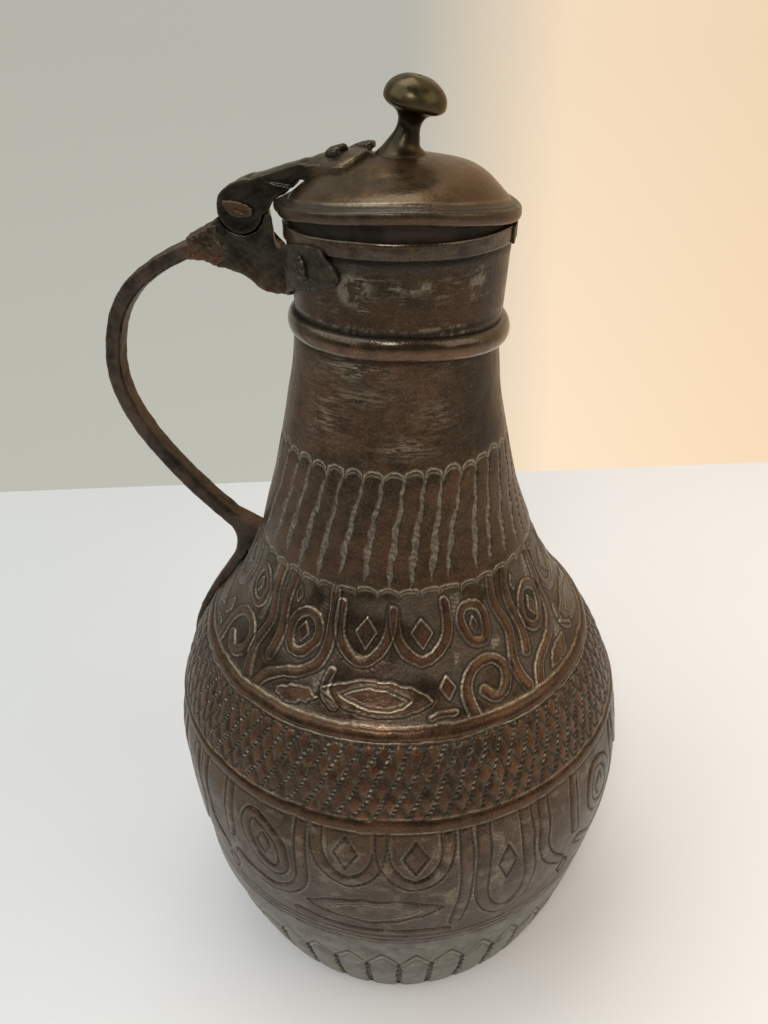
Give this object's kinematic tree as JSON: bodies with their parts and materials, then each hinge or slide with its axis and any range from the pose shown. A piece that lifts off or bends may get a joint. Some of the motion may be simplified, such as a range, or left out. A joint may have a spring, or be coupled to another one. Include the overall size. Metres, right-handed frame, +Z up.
{
  "type": "lidded copper ewer",
  "caption": "Chased copper water jug with a hinged domed lid, a mushroom knob and a forged handle held by a cast bracket and a riveted tail.",
  "frame": {"origin": "centre of the base, on the plane it stands on", "axes": "+Z up along the jug's axis, -X towards the handle and the hinge"},
  "size_m": [0.249, 0.2302, 0.4247],
  "materials": {
    "body_copper": "dark copper patina, worn, with pale residue in the chasing",
    "lid_copper": "smooth dark copper patina",
    "dark_copper": "dark copper",
    "handle_metal": "nearly black forged bar, worn",
    "cast_bracket": "dark grey-green casting",
    "strap_metal": "dark forged strap",
    "knob_brass": "olive brass patina"
  },
  "bodies": {
    "jug": {"lower_body": "body_copper", "upper_body": "body_copper", "base_disc": "body_copper", "neck_collar": "body_copper", "neck_ring": "body_copper", "rim_band": "body_copper", "bracket": "cast_bracket", "bracket_rivets": "dark_copper", "ferrule": "dark_copper", "handle": "handle_metal", "cross_pin": "handle_metal", "tail_rivets": "dark_copper", "hinge_pin": "dark_copper"},
    "lid": {"lid_dome": "lid_copper", "edge_wire": "dark_copper", "lid_flange": "lid_copper", "hinge_strap": "strap_metal", "strap_rivets": "dark_copper", "finial": "knob_brass", "finial_rove": "knob_brass"}
  },
  "joints": [
    {"name": "lid_hinge", "type": "hinge", "parent": "jug", "child": "lid", "pos_m": [-0.0627, 0, 0.3763], "axis": [0, -1, 0], "range_deg": [0, 110]}
  ]
}
